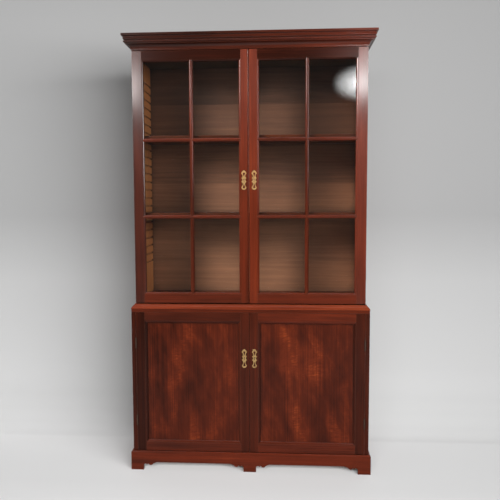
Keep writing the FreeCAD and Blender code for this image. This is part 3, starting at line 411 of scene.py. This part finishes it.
def split_boards(mesh):
    """Points of a mesh, the board number of each polygon, and the corners of each board."""
    points = np.array([v.co for v in mesh.vertices])
    numbers = shells(mesh)
    boards = {}
    for polygon, number in zip(mesh.polygons, numbers):
        boards.setdefault(number, []).extend(polygon.vertices)
    return points, numbers, boards


def board_tone(node, level, wobble):
    """How light a board is, from its node and, for rails and back boards, from its height in the node; the
    back boards get painted shade towards the top.
    """
    low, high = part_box(node)
    if node in RAIL_TONES:
        return RAIL_TONES[node][0 if level < 0.5 * (low.z + high.z) else 1]
    if node == "upper_back_boards":
        # Painted shade: the back boards darken towards the top
        return BACK_TONE - BACK_PAINTED_SHADE * ((level - low.z) / (high.z - low.z)) ** 2 + wobble
    return TONES.get(node, PLAIN_TONE + wobble)


def raw_share(node, across, inner):
    """How far a face this far across has lost its polish: wholly on the inner faces of the upper sides."""
    if node in DRY_BOARDS:
        return DRY_SHARE
    return 1.0 if node.startswith("upper_side") and across < inner else 0.0


def write_corners(mesh, name, kind, values):
    """Store one value for each face corner."""
    field = "vector" if kind == "FLOAT_VECTOR" else "value"
    made = mesh.attributes.new(name, kind, "CORNER")
    made.data.foreach_set(field, np.asarray(values, np.float32).ravel())


def label_wood(node):
    """Write each board's wood coordinates, tone and finish on its faces."""
    mesh = nodes[node].data
    points, numbers, boards = split_boards(mesh)
    rng = random.Random(node)
    shifts = {n: [rng.uniform(1, 9) for _ in range(3)] for n in sorted(boards)}
    tones = {n: board_tone(node, points[boards[n]][:, 2].mean(), rng.uniform(-TONE_WOBBLE, TONE_WOBBLE))
             for n in sorted(boards)}
    axes = {n: int(np.argmax(np.ptp(points[corners], axis=0))) for n, corners in boards.items()}
    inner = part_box("upper_shelves")[1].x + INNER_MARGIN
    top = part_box("upper_side_left")[1].z
    places, shades, raws, grains = [], [], [], []
    for polygon, n in zip(mesh.polygons, numbers):
        axis = axes[n]
        shift = shifts[n]
        u, v = [i for i in (0, 2, 1) if i != axis]
        raw = raw_share(node, abs(polygon.center.x), inner)
        for corner in polygon.vertices:
            p = points[corner]
            places.append((p[u] + shift[0] + AXIS_SHIFT * axis, p[v] + shift[1], p[axis] + shift[2]))
            # Painted shade on the inner faces of the upper sides: they get lighter downwards from the top
            dust = min(PAINTED_LIGHT_MOST, PAINTED_LIGHT_AT_TOP + PAINTED_LIGHT_PER_METRE * (top - p[2])) if raw == 1.0 else 0.0
            shades.append(tones[n] + LEANS.get(node, 0.0) * p[0] + dust)
            raws.append(raw)
            grains.append([float(i == axis) for i in range(3)])
    polish = POLISH.get(node, LOWER_POLISH if node.startswith(("lower", "plinth")) else UPPER_POLISH)
    write_corners(mesh, "wood_place", "FLOAT_VECTOR", places)
    write_corners(mesh, "wood_tone", "FLOAT", shades)
    write_corners(mesh, "wood_raw", "FLOAT", raws)
    write_corners(mesh, "wood_polish", "FLOAT", [polish] * len(raws))
    write_corners(mesh, "wood_grain", "FLOAT_VECTOR", grains)


for name, obj in nodes.items():
    slot = obj.data.materials[0].name.split(".")[0]
    obj.data.materials[0] = MATERIALS["hinge_brass" if "hinge" in name else slot]
    if slot in WOODS:
        label_wood(name)


# Small fittings: screws, plate pins and the putty behind the panes

# Screw heads: radius, height, the slot's half width in radii, and each rim's share of radius and height
SCREW_RADIUS = 0.0027
SCREW_HEIGHT = 0.00022
SLOT_SHARE = 0.16
SCREW_RIMS = ((1.0, 0.0), (1.0, 0.6), (0.9, 1.0))
SCREW_STEPS = 8
# Hinge screws: distance of two along the leaf, and for each its place in these steps and its inset
HINGE_PITCH = 0.0185
HINGE_SCREWS = ((-1, 0.0055), (0, 0.0105), (1, 0.0055))
BACK_SCREW_INSET = 0.0045
# Pin heads: radius, each rim's radius and height as shares of it, and their places up the plate
PIN_RADIUS = 0.0013
PIN_RIMS = ((0.7, -0.1), (0.72, 0.12), (1.0, 0.2), (0.93, 0.42), (0.7, 0.58), (0.35, 0.66))
PIN_STEPS = 12
PIN_LEVELS = (0.035, 0.965)
PUTTY_WIDTH = 0.0052
PUTTY_HEIGHT = 0.0055
PUTTY_LIP = 0.0006
DOORS = [(level, side) for level in ("upper", "lower") for side in ("left", "right")]


def piece(name, bm, body, material):
    """Make a bmesh into an object that rides on a body."""
    mesh = bpy.data.meshes.new(name)
    bm.normal_update()
    bm.to_mesh(mesh)
    bm.free()
    mesh.materials.append(material)
    made = bpy.data.objects.new(name, mesh)
    bpy.context.scene.collection.objects.link(made)
    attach(made, body)


def boards_of(node):
    """Lowest and highest corner of each solid in a node."""
    points, _, boards = split_boards(nodes[node].data)
    return [(Vector(points[v].min(0)), Vector(points[v].max(0))) for v in boards.values()]


def on_face(place, facing):
    """Matrix that stands a part built along +Z on a face."""
    return Matrix.Translation(place) @ Vector(facing).to_track_quat("Z", "Y").to_matrix().to_4x4()


def join_rings(bm, low, high, turned=False):
    """Faces between two closed rings of as many corners."""
    for i in range(len(low)):
        j = (i + 1) % len(low)
        quad = (low[i], low[j], high[j], high[i])
        bm.faces.new(quad[::-1] if turned else quad)


def add_screw(bm, place, facing, turn):
    """The two halves of a screw head, with its slot between them and a small bevel round it."""
    half_slot = SLOT_SHARE * SCREW_RADIUS
    stand = on_face(place, facing) @ Matrix.Rotation(turn, 4, "Z")
    for way in (1, -1):
        rims = []
        for share, height in SCREW_RIMS:
            radius = share * SCREW_RADIUS
            start = math.asin(half_slot / radius)
            angles = [start + (math.pi - 2 * start) * i / SCREW_STEPS for i in range(SCREW_STEPS + 1)]
            rims.append([bm.verts.new(stand @ Vector((radius * math.cos(a), way * radius * math.sin(a),
                                                      SCREW_HEIGHT * height))) for a in angles])
        for low, high in zip(rims, rims[1:]):
            join_rings(bm, low, high, turned=way < 0)
        bm.faces.new(rims[-1] if way > 0 else rims[-1][::-1])


def add_pin(bm, place, facing):
    """A small domed pin head, worn flat at its top and standing on a thin neck."""
    stand = on_face(place, facing)
    angles = [math.tau * i / PIN_STEPS for i in range(PIN_STEPS)]
    rims = []
    for share, height in PIN_RIMS:
        radius = share * PIN_RADIUS
        rims.append([bm.verts.new(stand @ Vector((radius * math.cos(a), radius * math.sin(a),
                                                  PIN_RADIUS * height))) for a in angles])
    for low, high in zip(rims, rims[1:]):
        join_rings(bm, low, high)
    bm.faces.new(rims[-1])
    bm.faces.new(rims[0][::-1])


def hinge_screws():
    """Three screws in every hinge leaf, staggered across it."""
    rng = random.Random("screws")
    case = bmesh.new()
    for level, side in DOORS:
        door = bmesh.new()
        name = f"{level}_{side}"
        out = -1 if side == "left" else 1
        stile_low, stile_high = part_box(name + "_hanging_stile")
        side_low, side_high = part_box(f"{level}_side_{side}")
        edge = stile_high.x if out > 0 else stile_low.x
        inner = side_low.x if out > 0 else side_high.x
        for low, high in boards_of(name + "_hinge_leaves"):
            middle = 0.5 * (low.z + high.z)
            for step, inset in HINGE_SCREWS:
                z = middle + step * HINGE_PITCH
                if level == "upper":
                    x = edge - out * inset
                    spots = ((door, (x, stile_high.y, z), (0, 1, 0)), (case, (x, side_low.y, z), (0, -1, 0)))
                else:
                    y = stile_low.y + inset
                    spots = ((door, (edge, y, z), (out, 0, 0)), (case, (inner, y, z), (-out, 0, 0)))
                for bm, place, facing in spots:
                    add_screw(bm, place, facing, rng.uniform(0, math.pi))
        piece(name + "_hinge_screws", door, name + "_door", MATERIALS["hinge_brass"])
    piece("case_hinge_screws", case, "case", MATERIALS["hinge_brass"])


def back_screws():
    """Screws of the lock cases and bolt plates on the backs of the doors."""
    rng = random.Random("back screws")
    inset = BACK_SCREW_INSET
    for level, side in DOORS:
        name = f"{level}_{side}"
        bm = bmesh.new()
        for low, high in boards_of(name + ("_lock_case" if side == "right" else "_bolt_plates")):
            for x in (low.x + inset, high.x - inset):
                for z in (low.z + inset, high.z - inset):
                    add_screw(bm, (x, high.y, z), (0, 1, 0), rng.uniform(0, math.pi))
        piece(name + "_back_screws", bm, name + "_door", MATERIALS["steel"])


def plate_pins():
    """Pins that hold each pierced plate at its top and bottom."""
    for level, side in DOORS:
        name = f"{level}_{side}"
        low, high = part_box(name + "_escutcheon")
        bm = bmesh.new()
        for share in PIN_LEVELS:
            z = low.z + share * (high.z - low.z)
            add_pin(bm, (0.5 * (low.x + high.x), low.y, z), (0, -1, 0))
        piece(name + "_plate_pins", bm, name + "_door", MATERIALS["brass"])


def putty_lines():
    """A fillet of putty behind the edges of every pane."""
    section = ((0.0, 0.0), (0.0, PUTTY_HEIGHT), (PUTTY_WIDTH, PUTTY_LIP), (PUTTY_WIDTH, 0.0))
    for side in ("left", "right"):
        bm = bmesh.new()
        for low, high in boards_of(f"upper_{side}_glass"):
            rings = []
            for inset, rise in section:
                x0, x1, z0, z1 = low.x + inset, high.x - inset, low.z + inset, high.z - inset
                rings.append([bm.verts.new((x, high.y + rise, z))
                              for x, z in ((x0, z0), (x1, z0), (x1, z1), (x0, z1))])
            for a, b in zip(rings, rings[1:] + rings[:1]):
                join_rings(bm, a, b)
        bmesh.ops.recalc_face_normals(bm, faces=bm.faces)
        piece(f"upper_{side}_putty", bm, f"upper_{side}_door", MATERIALS["putty"])


hinge_screws()
back_screws()
plate_pins()
putty_lines()


# Studio: a pale sweep, soft lamps and the camera

FLOOR_FRONT = -4.5
WALL_Y = 0.62
WALL_TOP = 3.2
SWEEP_HALF = 4.5
SWEEP_RADIUS = 0.35
SWEEP_STEPS = 16
# Grey of the paper by the metres along it from where its curve starts
PAPER_GREYS = [(-0.6, 0.67), (-0.03, 0.76), (0.14, 0.52), (0.25, 0.44), (0.35, 0.4), (1.12, 0.36),
               (1.54, 0.29), (2.8, 0.35)]
# Share of that grey at the left and at the right end of the lit stretch, and the stretch's half width
PAPER_SIDES = (1.23, 0.62)
PAPER_HALF = 2.0
# Plain grey of the floor in front, and where the paper turns to it
FRONT_GREY = (0.4, 0.4, 0.4)
FRONT_FADE = (-0.9, -2.5)
WORLD_GREY = (0.15, 0.15, 0.15, 1.0)
# Points in front of the right and the left stiles that the glare lamps face
GLARE_RIGHT = (0.5, -0.15, 1.9)
GLARE_LEFT = (-0.5, -0.15, 1.9)


def sweep_material():
    """Pale matt paper, darker up the wall and to the right, plain in front and clear from behind."""
    material, g = new_material("pale_backdrop")
    geometry = g.node("ShaderNodeNewGeometry").outputs
    place = g.node("ShaderNodeSeparateXYZ", {0: geometry["Position"]}).outputs
    paper = g.noise(geometry["Position"], scale=300.0, detail=2.0)
    first, last = PAPER_GREYS[0][0], PAPER_GREYS[-1][0]
    stops = [((way - first) / (last - first), (grey, grey, grey)) for way, grey in PAPER_GREYS]
    grey = g.ramp(g.band(g.attribute("way_along"), first, last), stops)
    share = g.band(place["X"], -PAPER_HALF, PAPER_HALF, *PAPER_SIDES)
    grey = g.stretch(grey, g.node("ShaderNodeCombineXYZ", {0: share, 1: share, 2: share}).outputs[0])
    grey = g.mix(g.band(place["Y"], *FRONT_FADE), grey, FRONT_GREY)
    matt = g.node("ShaderNodeBsdfDiffuse", {"Color": grey, "Normal": g.bump(paper, 0.1, 0.0005)}).outputs[0]
    clear = g.node("ShaderNodeBsdfTransparent").outputs[0]
    shown = g.node("ShaderNodeMixShader", {0: geometry["Backfacing"], 1: matt, 2: clear}).outputs[0]
    g.node("ShaderNodeOutputMaterial", {"Surface": shown})
    return material


def build_sweep():
    """Floor that curves up into a wall behind the object."""
    profile = [(FLOOR_FRONT, 0.0)]
    for i in range(SWEEP_STEPS + 1):
        angle = math.radians(90 * i / SWEEP_STEPS)
        profile.append((WALL_Y - SWEEP_RADIUS + SWEEP_RADIUS * math.sin(angle),
                        SWEEP_RADIUS - SWEEP_RADIUS * math.cos(angle)))
    profile.append((WALL_Y, WALL_TOP))
    ways = [profile[0][0] - profile[1][0]]
    for a, b in zip(profile, profile[1:]):
        ways.append(ways[-1] + math.dist(a, b))
    mesh = bpy.data.meshes.new("sweep")
    bm = bmesh.new()
    rows = [[bm.verts.new((x, y, z)) for y, z in profile] for x in (-SWEEP_HALF, SWEEP_HALF)]
    for i in range(len(profile) - 1):
        face = bm.faces.new((rows[0][i], rows[1][i], rows[1][i + 1], rows[0][i + 1]))
        face.smooth = True
    bm.to_mesh(mesh)
    bm.free()
    mesh.attributes.new("way_along", "FLOAT", "POINT").data.foreach_set("value", ways + ways)
    mesh.materials.append(sweep_material())
    sweep = bpy.data.objects.new("sweep", mesh)
    bpy.context.scene.collection.objects.link(sweep)
    sweep.visible_shadow = False
    return sweep


def light_group(name, sweep, state):
    """Receivers of a lamp: the sweep alone, or all but the sweep."""
    group = bpy.data.collections.new(name)
    group.objects.link(sweep)
    group.collection_objects[0].light_linking.link_state = state
    return group


def fade_to_rim(data):
    """Let a lamp fade out from its middle."""
    data.use_nodes = True
    g = Graph(data.node_tree)
    spot = g.node("ShaderNodeNewGeometry").outputs["Parametric"]
    away = g.node("ShaderNodeVectorMath", {0: spot, 1: (0.5, 0.5, 0.0)}, operation="DISTANCE")
    fade = g.band(away.outputs["Value"], 0.5, 0.0)
    g.feed(g.tree.nodes["Emission"].inputs["Strength"], g.math("POWER", fade, 2.0))


def softbox(name, place, aim, size, watts, receivers, spread=180, gloss_only=False, glare=False):
    """An area lamp that faces a point; one for glare acts on gloss only and fades out from its middle."""
    data = bpy.data.lights.new(name, "AREA")
    data.shape = "RECTANGLE"
    data.size, data.size_y = size
    data.energy = watts
    data.spread = math.radians(spread)
    if glare:
        fade_to_rim(data)
    lamp = bpy.data.objects.new(name, data)
    lamp.location = place
    lamp.rotation_euler = (Vector(aim) - Vector(place)).to_track_quat("-Z", "Y").to_euler()
    bpy.context.scene.collection.objects.link(lamp)
    lamp.light_linking.receiver_collection = receivers
    lamp.visible_diffuse = not (glare or gloss_only)


def build_world():
    """Even grey light from all round."""
    world = bpy.data.worlds.new("studio")
    world.use_nodes = True
    ground = world.node_tree.nodes["Background"]
    ground.inputs["Color"].default_value = WORLD_GREY
    ground.inputs["Strength"].default_value = 1.0
    bpy.context.scene.world = world


def build_camera():
    """Camera from which the photograph was taken."""
    data = bpy.data.cameras.new("camera")
    data.lens = CAMERA_LENS
    data.sensor_width = CAMERA_SENSOR
    data.clip_end = CAMERA_REACH
    camera = bpy.data.objects.new("camera", data)
    camera.location = CAMERA_PLACE
    camera.rotation_euler = [math.radians(a) for a in CAMERA_TURN]
    bpy.context.scene.collection.objects.link(camera)
    bpy.context.scene.camera = camera


paper_sweep = build_sweep()
on_paper = light_group("paper_light", paper_sweep, "INCLUDE")
on_object = light_group("object_light", paper_sweep, "EXCLUDE")
# Each lamp's place, the point that it faces, its width and height in metres, and its watts
softbox("wall_wash", (4.6, -6.4, 1.9), (0.0, 0.3, 1.5), (7.0, 2.4), 980.0, on_paper)
softbox("floor_wash", (1.5, -4.4, 2.5), (1.5, -1.42, 0.0), (6.0, 1.0), 128.0, on_paper, spread=100)
softbox("key", (-3.1, -3.1, 3.5), (0.0, 0.0, 1.2), (1.6, 1.6), 360.0, on_object)
softbox("right_glare", (1.05, -4.2, 2.83), GLARE_RIGHT, (0.66, 0.46), 74.0, on_object, glare=True)
softbox("stile_glare", (1.17, -4.2, 3.12), GLARE_RIGHT, (0.14, 0.5), 22.0, on_object, glare=True)
softbox("left_glare", (-1.84, -4.2, 2.83), GLARE_LEFT, (0.7, 0.56), 118.0, on_object, glare=True)
softbox("top_gleam", (-0.15, -0.9, 4.4), (-0.15, -0.2, 1.0), (3.4, 0.4), 60.0, on_object, gloss_only=True)
softbox("right_gleam", (2.6, -2.4, 2.4), (0.0, 0.0, 1.7), (0.5, 2.0), 100.0, on_object, glare=True)
softbox("right_fill", (3.0, -2.9, 2.3), (0.0, 0.0, 1.1), (1.4, 1.4), 110.0, on_object)
softbox("back_fill", (0.0, 3.6, 4.6), (0.0, 0.4, 1.2), (1.6, 1.6), 140.0, on_object)
build_world()
build_camera()
bpy.context.scene.view_settings.view_transform = "Standard"
